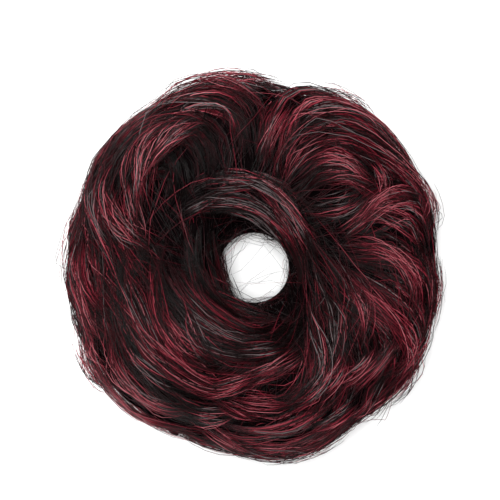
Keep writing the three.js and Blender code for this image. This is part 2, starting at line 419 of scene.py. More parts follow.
    # Slow waves move whole clumps, quicker ones single fibres, and a few fibres stray far. The
    # waves are read from noise, far enough apart for each clump and fibre to have its own.
    clump_rows, fibre_rows, seed_step = 40, 90, 3.7
    clump_waves, fibre_waves = 3.0, 6.0
    clump_gain = 2.0
    stray_rarity = 12
    stray_gain = 5.0
    stray_rise = 5 * mm
    seed_height = add(tree, "ShaderNodeMath", {0: given["Seed"], 1: seed_step}, operation="MULTIPLY")
    clump_row = add(
        tree, "ShaderNodeMath", {0: clump_chance.outputs["Z"], 1: clump_rows}, operation="MULTIPLY"
    )
    clump_phase = add(tree, "ShaderNodeCombineXYZ", {0: share, 1: clump_row, 2: seed_height})
    clump_wave = add(
        tree, "ShaderNodeTexNoise", {"Vector": clump_phase, "Scale": clump_waves, "Detail": 0.0}
    )
    clump_wave = add(
        tree,
        "ShaderNodeVectorMath",
        {0: clump_wave.outputs["Color"], 1: (0.5, 0.5, 0.5)},
        operation="SUBTRACT",
    )
    clump_sway = add(tree, "ShaderNodeMath", {0: given["Wander"], 1: clump_gain}, operation="MULTIPLY")
    clump_wave = add(
        tree, "ShaderNodeVectorMath", {0: clump_wave, "Scale": clump_sway}, operation="SCALE"
    )
    fibre_row = add(
        tree, "ShaderNodeMath", {0: fibre_split.outputs["Z"], 1: fibre_rows}, operation="MULTIPLY"
    )
    fibre_phase = add(tree, "ShaderNodeCombineXYZ", {0: share, 1: fibre_row, 2: seed_height})
    fibre_wave = add(
        tree, "ShaderNodeTexNoise", {"Vector": fibre_phase, "Scale": fibre_waves, "Detail": 1.0}
    )
    fibre_wave = add(
        tree,
        "ShaderNodeVectorMath",
        {0: fibre_wave.outputs["Color"], 1: (0.5, 0.5, 0.5)},
        operation="SUBTRACT",
    )
    stray = add(
        tree, "ShaderNodeMath", {0: second_split.outputs["Z"], 1: stray_rarity}, operation="POWER"
    )
    fibre_sway = add(
        tree, "ShaderNodeMath", {0: stray, 1: stray_gain, 2: 1.0}, operation="MULTIPLY_ADD"
    )
    fibre_sway = add(tree, "ShaderNodeMath", {0: fibre_sway, 1: given["Wander"]}, operation="MULTIPLY")
    fibre_wave = add(
        tree, "ShaderNodeVectorMath", {0: fibre_wave, "Scale": fibre_sway}, operation="SCALE"
    )
    wave = add(tree, "ShaderNodeVectorMath", {0: clump_wave, 1: fibre_wave}, operation="ADD")
    offset = add(tree, "ShaderNodeVectorMath", {0: offset, 1: wave}, operation="ADD")
    laid = add(
        tree, "GeometryNodeSetPosition", {"Geometry": marked.outputs["Geometry"], "Offset": offset}
    )

    # Each fibre is drawn to the solid's surface, up to its own height above or below it, and is
    # cut where the solid is cut away under another lock.
    deepest = 1.6 * mm
    fluff_rarity = 3
    solid = add(tree, "GeometryNodeObjectInfo", {"Object": given["Solid"]}).outputs["Geometry"]
    nearest = add(
        tree, "GeometryNodeProximity", {0: solid}, target_element="FACES"
    ).outputs["Position"]
    facing = add(
        tree,
        "GeometryNodeSampleNearestSurface",
        {"Mesh": solid, "Value": add(tree, "GeometryNodeInputNormal")},
        data_type="FLOAT_VECTOR",
    )
    above = add(tree, "ShaderNodeVectorMath", {0: place, 1: nearest}, operation="SUBTRACT")
    height = add(tree, "ShaderNodeVectorMath", {0: above}, operation="LENGTH").outputs["Value"]
    outside = add(
        tree, "ShaderNodeVectorMath", {0: above, 1: facing}, operation="DOT_PRODUCT"
    ).outputs["Value"]
    outside = add(tree, "ShaderNodeMath", {0: outside, 1: 0}, operation="GREATER_THAN")
    fluff = add(tree, "ShaderNodeMath", {0: second_split.outputs["X"], 1: fluff_rarity}, operation="POWER")
    fluff = add(tree, "ShaderNodeMath", {0: fluff, 1: clump_chance.outputs["Y"]}, operation="ADD")
    fluff = add(tree, "ShaderNodeMath", {0: fluff, 1: given["Fluff"]}, operation="MULTIPLY")
    stray_height = add(
        tree, "ShaderNodeMath", {0: stray, 1: stray_rise, 2: fluff}, operation="MULTIPLY_ADD"
    )
    sunk = add(tree, "ShaderNodeMath", {0: second_split.outputs["X"], 1: deepest}, operation="MULTIPLY")
    allowed = add(tree, "ShaderNodeMix", {0: outside, 2: sunk, 3: stray_height})
    kept = add(tree, "ShaderNodeMath", {0: allowed, 1: height}, operation="DIVIDE")
    kept = add(tree, "ShaderNodeMath", {0: kept, 1: 1}, operation="MINIMUM")
    drawn = add(
        tree,
        "ShaderNodeMix",
        {"Factor": kept, 4: nearest, 5: place},
        data_type="VECTOR",
    ).outputs[1]
    bared = add(tree, "ShaderNodeMath", {0: height, 1: outside}, operation="MULTIPLY")
    bared = add(tree, "ShaderNodeMath", {0: bared, 1: given["Reach"]}, operation="GREATER_THAN")
    laid = add(tree, "GeometryNodeDeleteGeometry", {"Geometry": laid, "Selection": bared})
    laid = add(tree, "GeometryNodeSetPosition", {"Geometry": laid, "Position": drawn})
    smooth = add(
        tree, "GeometryNodeBlurAttribute", {"Value": place, "Iterations": 2}, data_type="FLOAT_VECTOR"
    )
    laid = add(tree, "GeometryNodeSetPosition", {"Geometry": laid, "Position": smooth})
    above_table = add(
        tree, "ShaderNodeVectorMath", {0: place, 1: (-1, -1, fibre_width)}, operation="MAXIMUM"
    )
    laid = add(tree, "GeometryNodeSetPosition", {"Geometry": laid, "Position": above_table})

    # Roots and tips end at different places, and each fibre thins towards both.
    farthest_root, farthest_tip = 0.3, 0.35
    short_rarity = 3
    taper_start, taper_end = 0.25, 0.5
    end_thickness = 0.25
    thinnest, thickest = 0.35, 0.65
    root = add(tree, "ShaderNodeMath", {0: fibre_split.outputs["X"], 1: short_rarity}, operation="POWER")
    root = add(tree, "ShaderNodeMath", {0: root, 1: farthest_root}, operation="MULTIPLY")
    tip = add(tree, "ShaderNodeMath", {0: fibre_split.outputs["Y"], 1: short_rarity}, operation="POWER")
    tip = add(tree, "ShaderNodeMath", {0: tip, 1: -farthest_tip, 2: 1.0}, operation="MULTIPLY_ADD")
    cut = add(tree, "GeometryNodeTrimCurve", {0: laid, 2: root, 3: tip}, mode="FACTOR")
    end = add(tree, "ShaderNodeMath", {0: share, 1: 0.5}, operation="SUBTRACT")
    end = add(tree, "ShaderNodeMath", {0: end}, operation="ABSOLUTE")
    slim = add(
        tree,
        "ShaderNodeMapRange",
        {
            "Value": end,
            "From Min": taper_start,
            "From Max": taper_end,
            "To Min": 1.0,
            "To Max": end_thickness,
        },
    )
    thick = add(
        tree,
        "ShaderNodeMapRange",
        {"Value": fibre_split.outputs["Y"], "To Min": thinnest, "To Max": thickest},
    )
    thick = add(tree, "ShaderNodeMath", {0: thick, 1: given["Fibre"]}, operation="MULTIPLY")
    radius = add(tree, "ShaderNodeMath", {0: slim, 1: thick}, operation="MULTIPLY")

    # Each fibre has a column of its own in the map, with its length along it. The columns take
    # nine tenths of the map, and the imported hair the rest.
    fibre_share = 0.9
    length_mark = add(tree, "GeometryNodeCaptureAttribute", {"Geometry": cut})
    length_mark.capture_items.new("FLOAT", "along")
    tree.links.new(share, length_mark.inputs["along"])
    section = add(tree, "GeometryNodeCurvePrimitiveCircle", {"Resolution": 3, "Radius": 1.0})
    round_mark = add(tree, "GeometryNodeCaptureAttribute", {"Geometry": section.outputs["Curve"]})
    round_mark.capture_items.new("FLOAT", "around")
    tree.links.new(share, round_mark.inputs["around"])
    tubes = add(
        tree,
        "GeometryNodeCurveToMesh",
        {
            "Curve": length_mark.outputs["Geometry"],
            "Profile Curve": round_mark.outputs["Geometry"],
            "Scale": radius,
            "Fill Caps": True,
        },
    )
    column = add(tree, "ShaderNodeMath", {0: fibre, 1: round_mark.outputs["around"]}, operation="ADD")
    count = add(tree, "GeometryNodeAttributeDomainSize", {0: cut}, component="CURVE")
    column = add(
        tree, "ShaderNodeMath", {0: column, 1: count.outputs["Spline Count"]}, operation="DIVIDE"
    )
    column = add(tree, "ShaderNodeMath", {0: column, 1: fibre_share}, operation="MULTIPLY")
    spot = add(tree, "ShaderNodeCombineXYZ", {0: column, 1: length_mark.outputs["along"]})
    tubes = add(
        tree,
        "GeometryNodeStoreNamedAttribute",
        {"Geometry": tubes, "Name": "OFBake", "Value": spot},
        data_type="FLOAT2",
        domain="CORNER",
    )

    # A clump leans to black or to burgundy, and its fibres are drawn from both stocks. Fibres are
    # painted lighter in the lock's middle, a painted highlight on its crest, and painted darker where
    # its ends dive under the others, as painted shade. Each lock's own light scales this further as
    # painted light and shade.
    black_lean, burgundy_lean = -0.3, 0.4
    clump_share = 0.32
    dive_start, dive_end = 0.15, 0.5
    painted_crest_light, painted_dive_shade = 1.2, 0.35
    contrast = 1.3
    lean = add(
        tree,
        "ShaderNodeMapRange",
        {"Value": clump_chance.outputs["Z"], "To Min": black_lean, "To Max": burgundy_lean},
    )
    lean = add(tree, "ShaderNodeMath", {0: lean, 1: given["Wine"]}, operation="ADD")
    burgundy = add(
        tree, "ShaderNodeMath", {0: second_split.outputs["Y"], 1: lean}, operation="LESS_THAN"
    )
    along = length_mark.outputs["along"]
    shade = add(
        tree, "ShaderNodeMix", {0: clump_share, 2: fibre_split.outputs["Z"], 3: clump_lean.outputs["Y"]}
    )
    dive = add(tree, "ShaderNodeMath", {0: along, 1: 0.5}, operation="SUBTRACT")
    dive = add(tree, "ShaderNodeMath", {0: dive}, operation="ABSOLUTE")
    dive = add(
        tree,
        "ShaderNodeMapRange",
        {
            "Value": dive,
            "From Min": dive_start,
            "From Max": dive_end,
            "To Min": painted_crest_light,
            "To Max": painted_dive_shade,
        },
    )
    dive = add(tree, "ShaderNodeMath", {0: dive, 1: given["Light"]}, operation="MULTIPLY")
    shade = add(tree, "ShaderNodeMath", {0: shade, 1: dive}, operation="MULTIPLY", use_clamp=True)
    shade = add(tree, "ShaderNodeMath", {0: shade, 1: contrast}, operation="POWER")
    shade = add(tree, "ShaderNodeMath", {0: shade, 1: burgundy}, operation="ADD")
    shade = add(tree, "ShaderNodeMath", {0: shade, 1: 0.5}, operation="MULTIPLY")
    tubes = add(
        tree,
        "GeometryNodeStoreNamedAttribute",
        {"Geometry": tubes, "Name": "tone", "Value": shade},
        data_type="FLOAT",
        domain="POINT",
    )

    # Inside, the imported hair is the solid drawn in a little and rounded, in the near-black of
    # painted shade.
    packed_depth = 1.9 * mm
    packed_scale = (0.08 / ring_diameter, 1 / ring_diameter, 0)
    packed_place = (0.95, 0.5, 0)
    packed = add(tree, "GeometryNodeMergeByDistance", {"Geometry": solid, "Distance": 0.001 * mm})
    packed = add(tree, "GeometryNodeSubdivisionSurface", {"Mesh": packed, "Level": 1})
    inward = add(
        tree,
        "ShaderNodeVectorMath",
        {0: add(tree, "GeometryNodeInputNormal"), "Scale": -packed_depth},
        operation="SCALE",
    )
    packed = add(tree, "GeometryNodeSetPosition", {"Geometry": packed, "Offset": inward})
    rounded = add(
        tree, "GeometryNodeBlurAttribute", {"Value": place, "Iterations": 3}, data_type="FLOAT_VECTOR"
    )
    packed = add(tree, "GeometryNodeSetPosition", {"Geometry": packed, "Position": rounded})
    packed_map = add(
        tree,
        "ShaderNodeVectorMath",
        {0: place, 1: packed_scale, 2: packed_place},
        operation="MULTIPLY_ADD",
    )
    packed = add(
        tree,
        "GeometryNodeStoreNamedAttribute",
        {"Geometry": packed, "Name": "OFBake", "Value": packed_map},
        data_type="FLOAT2",
        domain="CORNER",
    )
    packed = add(tree, "GeometryNodeSetMaterial", {"Geometry": packed, "Material": given["Inside"]})
    packed = add(
        tree, "GeometryNodeSwitch", {"Switch": given["Packed"], "True": packed}, input_type="GEOMETRY"
    )
    tubes = add(tree, "GeometryNodeSetMaterial", {"Geometry": tubes, "Material": given["Finish"]})
    joined = add(tree, "GeometryNodeJoinGeometry", {"Geometry": packed})
    tree.links.new(tubes.outputs[0], joined.inputs["Geometry"])
    joined = add(tree, "GeometryNodeSetShadeSmooth", {"Geometry": joined})
    joined = add(tree, "GeometryNodeRealizeInstances", {"Geometry": joined})
    add(tree, "NodeGroupOutput", {"Hair": joined})
    return tree


def grow(name, guides, tree, **inputs):
    """Runs a tree on guide lines and gives the result as a plain mesh."""
    mesh = bpy.data.meshes.new(name)
    points, edges = [], []
    for guide in guides:
        edges += [(len(points) + i, len(points) + i + 1) for i in range(len(guide) - 1)]
        points += guide
    mesh.from_pydata(points, edges, [])
    carrier = bpy.data.objects.new(name, mesh)
    scene.collection.objects.link(carrier)
    modifier = carrier.modifiers.new("hair", "NODES")
    modifier.node_group = tree
    for item in tree.interface.items_tree:
        if item.in_out == "INPUT" and item.name in inputs:
            modifier[item.identifier] = inputs[item.name]
    evaluated = carrier.evaluated_get(bpy.context.evaluated_depsgraph_get())
    grown = bpy.data.meshes.new_from_object(evaluated)
    bpy.data.objects.remove(carrier)
    return grown


hair_along_guide = hair_tree()


def lock_guide(bearing, wrap, lift):
    """A smooth line through a lock's stations, with both ends tucked into the hair.

    bearing and wrap list the stations in degrees about the hole and about the ring.
    """
    steps_between = 8
    steps = steps_between * (len(bearing) - 1)

    def smooth(values, i, t):
        before, start, end, after = (
            values[min(max(k, 0), len(values) - 1)] for k in (i - 1, i, i + 1, i + 2)
        )
        bend = 2 * before - 5 * start + 4 * end - after
        twist = 3 * (start - end) + after - before
        return start + 0.5 * t * (end - before + t * (bend + t * twist))

    line = []
    for step in range(steps + 1):
        i = min(step // steps_between, len(bearing) - 2)
        t = step / steps_between - i
        tuck = lock_end_tuck * (1 - math.sin(math.pi * step / steps))
        rise = lift * lock_thickness - tuck
        line.append(ring_point(smooth(bearing, i, t), smooth(wrap, i, t), rise))
    return line


def lock(
    name, seed, bearing, wrap, lift, width, depth, wine, fibres=380, wander=5, fluff=1.7, light=1
):
    """A lock of hair in place of the solid of its name.

    width and depth are shares of the usual lock's, wine is the share of burgundy, and light
    scales the lock's colour as painted light and shade: lower for locks that lie deep in hollows
    or under others, higher for locks that lie on top.
    """
    mesh = grow(
        name + "_hair",
        [lock_guide(bearing, wrap, lift)],
        hair_along_guide,
        Solid=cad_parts[name],
        Fibres=fibres,
        Clumps=20,
        Width=width * lock_width,
        Thickness=depth * lock_thickness,
        Twist=0.12,
        Fluff=fluff * mm,
        Reach=fibre_reach,
        Wander=wander * mm,
        Wine=wine,
        Step=5.5 * mm,
        Fibre=fibre_width,
        Light=light,
        Seed=seed,
        Packed=True,
        Finish=modacrylic,
        Inside=shade_painted_core,
    )
    return mesh_piece(name + "_hair", mesh, "root", "wine_hair", name)


# The wefts run from inside the hole, under the ring and up to the rim, each over the last.
weft_count = 44
weft_sweep = 70
weft_start = 60
weft_steps = 60
weft_turn = 6.5
weft_lift = 8 * mm
weft_guides = []
for i in range(weft_count):
    start = 360 * i / weft_count
    weft_guides.append(
        [
            ring_point(start + weft_sweep * k / weft_steps, weft_start + weft_turn * k, weft_lift)
            for k in range(weft_steps + 1)
        ]
    )
# The wefts lie under the locks, and their fibres are painted darker, as painted shade.
wound_mesh = grow(
    "wound_fibres",
    weft_guides,
    hair_along_guide,
    Solid=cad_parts["wound_hair"],
    Fibres=27,
    Clumps=200,
    Width=16 * mm,
    Thickness=3 * mm,
    Twist=0.0,
    Fluff=1.0 * mm,
    Reach=fibre_reach,
    Wander=5 * mm,
    Wine=0.3,
    Step=6 * mm,
    Fibre=1.1 * fibre_width,
    Light=0.6,
    Seed=77,
    Packed=True,
    Finish=modacrylic,
    Inside=shade_painted_core,
)
mesh_piece("wound_fibres", wound_mesh, "root", "dark_hair", "wound_hair")


# Rim locks. Ten short locks hang from under the outer ones and curl in to the table.
rim_lock_count = 10
rim_lock_sweep = 52
rim_lock_wrap = [18, -18, -46, -78]
for i in range(rim_lock_count):
    root = 360 // rim_lock_count * i
    lock(
        f"rim_lock_{i + 1}",
        seed=100 + i,
        bearing=[root + rim_lock_sweep * k / 3 for k in range(4)],
        wrap=rim_lock_wrap,
        lift=0,
        width=1.15,
        depth=1,
        wine=0.5,
        fibres=178,
    )


# Outer and lower left locks, laid first. They run round the rim and dive under the curls.
lock(
    "lock_right_rim",
    seed=1,
    bearing=[26, 10, -8, -24, -38],
    wrap=[-6, -6, -4, 2, 12],
    lift=-0.2,
    width=0.8,
    depth=0.9,
    wine=0.6,
    fibres=190,
    light=1.3,
)
lock(
    "lock_lower_left_rim",
    seed=2,
    bearing=[150, 168, 186, 204, 222],
    wrap=[2, 2, 20, 50, 74],
    lift=-0.1,
    width=1.1,
    depth=1,
    wine=0.6,
    light=1.1,
)
lock(
    "lock_bottom_rim",
    seed=3,
    bearing=[230, 256, 282, 306, 322],
    wrap=[-8, -10, -10, 0, 28],
    lift=0,
    width=0.85,
    depth=1,
    wine=0.6,
    light=0.9,
)

# Upper left curl.
lock(
    "lock_upper_left_core",
    seed=4,
    bearing=[162, 145, 126, 122, 136, 156],
    wrap=[64, 46, 56, 86, 106, 100],
    lift=-0.12,
    width=0.75,
    depth=0.95,
    wine=0.35,
    fibres=270,
    light=0.45,
)
lock(
    "lock_upper_left_inner",
    seed=5,
    bearing=[166, 152, 130, 110, 106, 120, 150],
    wrap=[82, 32, 24, 56, 90, 114, 122],
    lift=-0.06,
    width=0.8,
    depth=1,
    wine=0.4,
    light=0.8,
)
lock(
    "lock_upper_left_outer",
    seed=6,
    bearing=[87, 89, 110, 138, 160, 171],
    wrap=[112, 52, 2, -2, 30, 92],
    lift=0.02,
    width=1.05,
    depth=1.1,
    wine=0.55,
    fibres=630,
)

# Upper right curl.
lock(
    "lock_upper_right_inner",
    seed=7,
    bearing=[54, 66, 54, 38, 20],
    wrap=[140, 104, 78, 58, 44],
    lift=-0.08,
    width=0.62,
    depth=0.95,
    wine=0.5,
    fibres=250,
    light=0.6,
)
lock(
    "lock_upper_right_middle",
    seed=8,
    bearing=[70, 76, 62, 45, 26],
    wrap=[116, 76, 42, 22, 16],
    lift=-0.02,
    width=0.72,
    depth=1,
    wine=0.55,
    light=0.85,
)
lock(
    "lock_upper_right_outer",
    seed=9,
    bearing=[62, 80, 76, 54, 30, 6],
    wrap=[132, 92, 36, -4, -10, -2],
    lift=0,
    width=0.9,
    depth=1.1,
    wine=0.4,
    fibres=545,
    light=1.15,
)

# Right side.
lock(
    "lock_right_upper",
    seed=10,
    bearing=[6, 24, 28, 18, 0],
    wrap=[130, 96, 58, 22, 10],
    lift=-0.02,
    width=0.9,
    depth=1,
    wine=0.45,
)
lock(
    "lock_lower_right_inner",
    seed=11,
    bearing=[-12, -26, -42, -62],
    wrap=[148, 104, 72, 54],
    lift=-0.06,
    width=1,
    depth=1,
    wine=0.45,
    fibres=295,
    light=0.65,
)
lock(
    "lock_right_middle",
    seed=12,
    bearing=[20, 10, 2, -10, -28],
    wrap=[134, 94, 66, 34, 22],
    lift=-0.02,
    width=0.85,
    depth=1,
    wine=0.5,
)

# Bottom.
lock(
    "lock_bottom_outer",
    seed=13,
    bearing=[240, 260, 282, 302, 318],
    wrap=[58, 42, 32, 40, 66],
    lift=-0.02,
    width=1,
    depth=1,
    wine=0.6,
    light=0.9,
)
lock(
    "lock_lower_right_outer",
    seed=14,
    bearing=[14, -6, -17, -28, -46, -66],
    wrap=[142, 100, 60, 14, -4, 8],
    lift=0,
    width=0.9,
    depth=1.05,
    wine=0.5,
    fibres=480,
    light=1.05,
)
lock(
    "lock_lower_left_outer",
    seed=15,
    bearing=[192, 204, 220, 238, 258],
    wrap=[70, 38, 10, 8, 38],
    lift=0,
    width=1.05,
    depth=1.05,
    wine=0.55,
    fibres=440,
    light=1.15,
)
lock(
    "lock_bottom_middle",
    seed=16,
    bearing=[150, 176, 204, 230, 258, 286],
    wrap=[94, 88, 82, 76, 76, 86],
    lift=0,
    width=1.3,
    depth=1.05,
    wine=0.25,
    fibres=630,
    light=0.8,
)
lock(
    "lock_lower_right_sweep",
    seed=17,
    bearing=[-24, -42, -53, -73, -100],
    wrap=[160, 116, 86, 62, 58],
    lift=0.02,
    width=0.85,
    depth=0.95,
    wine=0.4,
    light=0.8,
)

# Round the hole.
lock(
    "lock_hole_bottom",
    seed=18,
    bearing=[158, 190, 228, 264, 294, 322],
    wrap=[116, 120, 122, 120, 124, 136],
    lift=0,
    width=1.05,
    depth=1,
    wine=0.25,
    fibres=480,
    light=0.8,
)
lock(
    "lock_hole_left",
    seed=19,
    bearing=[122, 148, 180, 214, 250, 290],
    wrap=[132, 148, 158, 160, 160, 162],
    lift=0,
    width=0.85,
    depth=1,
    wine=0.2,
    fibres=315,
    light=0.6,
)
lock(
    "lock_hole_top",
    seed=20,
    bearing=[152, 126, 98, 72, 46, 18, -10, -38],
    wrap=[104, 110, 118, 134, 148, 154, 158, 168],
    lift=0.02,
    width=0.8,
    depth=1,
    wine=0.2,
    fibres=480,
    light=1.25,
)

# Loose fibres. Long fibres have worked free of their locks. They lie over the dressed side from
# one lock to the next, stand out from the rim and cross the hole.
form_points, form_faces = [], []
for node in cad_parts.values():
    first = len(form_points)
    form_points += [tuple(vertex.co) for vertex in node.data.vertices]
    form_faces += [tuple(first + k for k in face.vertices) for face in node.data.polygons]
form_mesh = bpy.data.meshes.new("dressed form")
form_mesh.from_pydata(form_points, [], form_faces)
dressed_form = bpy.data.objects.new("dressed form", form_mesh)
scene.collection.objects.link(dressed_form)


def loose_fibres(
    name, seed, routes, fibres, width, wander, fluff, wine, lift=0.5, step=4, thin=0.7, light=0.9
):
    """Free fibres that follow the routes loosely and lie on whatever lock is under them.

    Each route is its stations' bearings and wraps. Sizes are in millimetres. light scales the
    fibres' colour as painted light and shade.
    """
    guides = [lock_guide(bearing, wrap, lift) for bearing, wrap in routes]
    mesh = grow(
        name,
        guides,
        hair_along_guide,
        Solid=dressed_form,
        Fibres=fibres,
        Clumps=400,
        Width=width * mm,
        Thickness=4 * mm,
        Twist=0.0,
        Fluff=fluff * mm,
        Reach=max(fibre_reach, 2 * fluff * mm),
        Wander=wander * mm,
        Wine=wine,
        Step=step * mm,
        Fibre=thin * fibre_width,
        Light=light,
        Seed=seed,
        Packed=False,
        Finish=modacrylic,
        Inside=shade_painted_core,
    )
    return mesh_piece(name, mesh, "root", "wine_hair")


loose_fibres(
    "loose_fibres_over_locks",
    seed=41,
    routes=[
        ([84, 100, 130, 156, 176, 204, 232], [40, 10, 4, 30, 78, 84, 78]),
        ([60, 76, 80, 100, 132, 160], [120, 90, 50, 30, 40, 90]),
        ([160, 176, 204, 232, 262, 300], [60, 70, 74, 70, 66, 70]),
        ([150, 176, 206, 244, 290, 330], [120, 112, 108, 106, 110, 130]),
        ([66, 80, 64, 36, 8, -20], [130, 70, 20, 6, 10, 20]),
        ([40, 20, 0, -20, -44, -70], [120, 90, 60, 36, 30, 50]),
        ([10, -14, -34, -60, -90, -120], [140, 100, 70, 50, 44, 60]),
        ([240, 262, 290, 318, 340, 360], [40, 30, 26, 30, 40, 60]),
        ([170, 186, 206, 226, 250, 276], [30, 24, 20, 16, 20, 30]),
        ([190, 160, 130, 100, 70, 40], [100, 104, 108, 120, 136, 150]),
        ([110, 130, 150, 168, 190, 214], [60, 70, 80, 100, 120, 130]),
        ([60, 40, 20, -4, -30], [90, 70, 60, 60, 80]),
    ],
    fibres=16,
    width=34,
    wander=20,
    fluff=1.6,
    wine=0.5,
)
loose_fibres(
    "loose_fibres_at_left",
    seed=43,
    routes=[
        ([126, 142, 156, 168, 180, 200, 226], [10, 16, 34, 60, 82, 86, 78]),
        ([130, 148, 160, 170, 180, 194, 212], [30, 40, 56, 80, 96, 100, 92]),
        ([154, 166, 178, 192, 210, 230], [16, 34, 46, 50, 42, 30]),
    ],
    fibres=60,
    width=17,
    wander=9,
    fluff=1,
    wine=0.45,
)
# These lie deep between the locks, and are painted darker, as painted shade.
loose_fibres(
    "loose_fibres_between_locks",
    seed=45,
    routes=[
        ([start - 52 * k / 6 for k in range(7)], [168, 150, 124, 96, 66, 34, 4])
        for start in range(0, 360, 15)
    ],
    fibres=21,
    width=14,
    wander=14,
    fluff=0.3,
    wine=0.4,
    thin=0.9,
    light=0.5,
)
loose_fibres(
    "loose_fibres_at_right",
    seed=46,
    routes=[
        ([66, 40, 14, -10, -34, -56], [128, 118, 112, 104, 96, 90]),
        ([50, 24, 2, -18, -40, -70], [140, 130, 122, 112, 92, 70]),
        ([20, -2, -20, -36, -50], [150, 136, 112, 84, 56]),
        ([0, -14, -34, -58, -84], [158, 140, 112, 88, 74]),
        ([-10, -22, -48, -80, -112], [160, 146, 122, 104, 96]),
        ([-24, -36, -44, -60, -90], [150, 120, 92, 64, 44]),
    ],
    fibres=36,
    width=16,
    wander=14,
    fluff=1.2,
    wine=0.45,
)


# Strands. Where fibres have slipped out of a lock together they lie over the others as a strand.
# A strand's route starts as the pixels that the photo shows it at, and is brought down on to
# the ring.
hollow_lift = 0.75 * mm
rim_lift = 2.65 * mm


def seen_route(pixels, lift=0.0):
    """Bearings and wraps, in whole degrees, of the places on the ring seen at these pixels."""
    widest = 0.985
    bearings, wraps = [], []
    for column, row in pixels:
        nearness = 1.0
        for _ in range(5):
            x = (column / photo_pixels - 0.5) * view_width / nearness - hole_in_view.x
            y = (0.5 - row / photo_pixels) * view_width / nearness - hole_in_view.y
            across = (math.hypot(x, y) - ring_radius) / (ring_reach + lift)
            across = min(max(across, -widest), widest)
            angle = math.acos(math.copysign(abs(across) ** (ring_fullness / 2), across))
            height = middle_height * math.sin(angle) ** (2 / ring_fullness)
            nearness = view_distance / (view_distance - height)
        bearing = math.degrees(math.atan2(y, x))
        if bearings:
            bearing += 360 * round((bearings[-1] - bearing) / 360)
        bearings.append(bearing)
        wraps.append(math.degrees(angle))
    return [round(bearing) for bearing in bearings], [round(wrap) for wrap in wraps]


burgundy_strand_pixels = [
    [
        (322, 258), (344, 271), (368, 292), (392, 315), (408, 342), (409, 366), (397, 387),
        (377, 405),
    ],
    [
        (330, 251), (352, 244), (375, 246), (397, 256), (413, 276), (419, 300), (416, 321),
        (412, 334),
    ],
    [(333, 239), (352, 229), (366, 215), (384, 201)],
    [(352, 213), (377, 211), (404, 219), (424, 231), (435, 245)],
    [(344, 275), (360, 292), (368, 314), (368, 334), (361, 349)],
    [(250, 385), (274, 377), (294, 361), (308, 342)],
    [
        (183, 109), (162, 116), (146, 132), (135, 152), (131, 177), (132, 194), (139, 214),
        (143, 227),
    ],
    [(172, 93), (207, 81), (234, 87), (270, 104)],
    [(69, 254), (73, 281), (84, 308), (93, 330), (111, 344)],
    [
        (91, 258), (93, 274), (107, 293), (120, 308), (130, 321), (140, 336), (154, 352),
        (175, 369), (194, 381), (214, 389), (234, 384), (251, 370), (255, 350), (251, 334),
    ],
    [(156, 294), (160, 314), (171, 336), (184, 350), (203, 361), (221, 366)],
    [
        (114, 317), (110, 346), (114, 368), (127, 385), (143, 401), (162, 411), (180, 413),
        (202, 409),
    ],
    [(211, 395), (227, 408), (247, 415), (270, 415)],
    [(195, 420), (214, 436), (241, 451), (270, 458)],
    [(270, 376), (247, 385), (221, 391), (194, 389)],
    [(294, 96), (277, 119), (266, 143), (263, 174)],
    [(282, 198), (282, 174), (286, 152), (304, 136), (325, 134), (344, 136)],
    [(301, 167), (317, 156), (336, 154), (354, 158), (368, 171), (381, 190)],
    [(346, 139), (368, 136), (391, 150), (411, 166), (424, 181), (435, 202), (437, 227)],
    [(344, 233), (360, 225), (373, 206), (395, 195), (415, 195), (428, 206)],
    [(430, 330), (420, 352), (405, 374), (385, 394)],
    [(395, 345), (385, 365), (365, 385), (340, 400)],
    [(350, 345), (345, 365), (330, 385), (305, 400)],
    [(370, 400), (350, 415), (325, 428), (300, 436)],
    [(300, 360), (280, 372), (255, 380), (230, 384)],
    [(300, 400), (275, 405), (250, 404), (225, 396)],
    [(385, 340), (372, 364), (352, 382), (330, 392)],
]
loose_fibres(
    "strands_burgundy",
    seed=51,
    routes=[seen_route(pixels) for pixels in burgundy_strand_pixels],
    fibres=36,
    width=6,
    wander=5,
    fluff=3.4,
    wine=0.7,
    lift=0.65,
    thin=0.66,
    light=1.2,
)

black_strand_pixels = [
    [(316, 284), (330, 292), (342, 311), (346, 331), (342, 350), (330, 369), (322, 378)],
    [
        (308, 286), (308, 314), (320, 334), (325, 354), (323, 378), (313, 394), (294, 405),
        (270, 410),
    ],
    [(211, 122), (191, 124), (174, 134), (158, 151), (145, 172)],
    [(101, 171), (104, 207), (118, 229), (138, 237), (151, 246), (162, 258)],
    [(190, 213), (207, 202), (227, 198), (247, 203), (270, 218)],
    [(207, 187), (227, 178), (247, 179), (270, 189)],
    [(120, 168), (124, 194), (132, 218), (139, 233)],
    [(167, 282), (180, 300), (195, 317), (211, 329), (231, 340), (254, 342), (270, 338)],
    [
        (114, 250), (116, 267), (127, 286), (140, 312), (143, 325), (154, 344), (170, 361),
        (188, 376),
    ],
    [(120, 326), (123, 349), (140, 366), (154, 377), (175, 392), (194, 393)],
    [(178, 409), (201, 420), (221, 420), (241, 413)],
    [
        (275, 189), (275, 162), (285, 143), (304, 127), (325, 118), (350, 118), (375, 126),
        (395, 140), (411, 162), (428, 190), (435, 221),
    ],
    [(309, 186), (336, 175), (357, 177), (373, 186)],
    [(370, 185), (366, 197), (352, 206), (330, 214), (308, 214), (296, 205)],
    [(250, 180), (267, 191), (283, 206), (296, 227), (304, 247), (304, 270)],
    [(271, 194), (290, 210), (306, 225), (316, 243), (317, 264)],
    [(400, 330), (392, 352), (375, 375), (352, 392)],
    [(290, 345), (270, 352), (250, 354), (228, 350)],
    [(180, 222), (195, 205), (214, 195), (236, 190)],
    [(335, 350), (330, 372), (312, 394), (286, 412)],
    [(200, 190), (222, 183), (245, 182), (264, 188)],
]
black_strand_routes = [seen_route(pixels) for pixels in black_strand_pixels]
